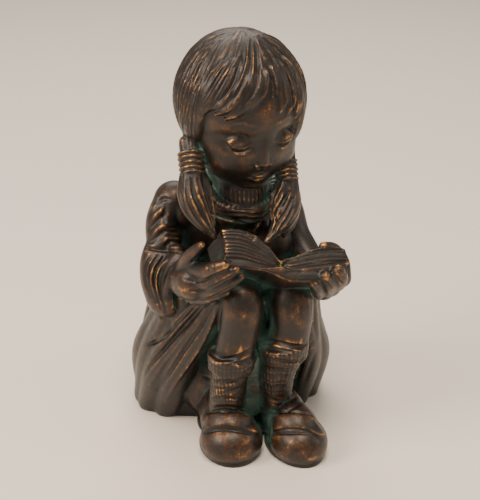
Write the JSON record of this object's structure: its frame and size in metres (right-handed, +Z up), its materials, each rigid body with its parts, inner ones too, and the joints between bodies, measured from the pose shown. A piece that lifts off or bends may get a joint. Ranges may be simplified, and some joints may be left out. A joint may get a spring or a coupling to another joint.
{
  "type": "seated girl figurine",
  "caption": "Small cast figurine of a girl with pigtails, seated with knees drawn up and an open book held over them, resting on its flat underside.",
  "frame": {"origin": "on the flat underside, between the hem of the skirt and the heels", "axes": "+Z up through the crown, -Y out of the front towards the toes, +X to a viewer's right, which is the girl's left"},
  "size_m": [0.1082, 0.1267, 0.2159],
  "materials": {
    "bronze": "cast bronze with a dark brown patina, copper-coloured where handling has rubbed it and grey-green in the hollows"
  },
  "bodies": {
    "root": {"girl_reading": "bronze"}
  },
  "joints": []
}
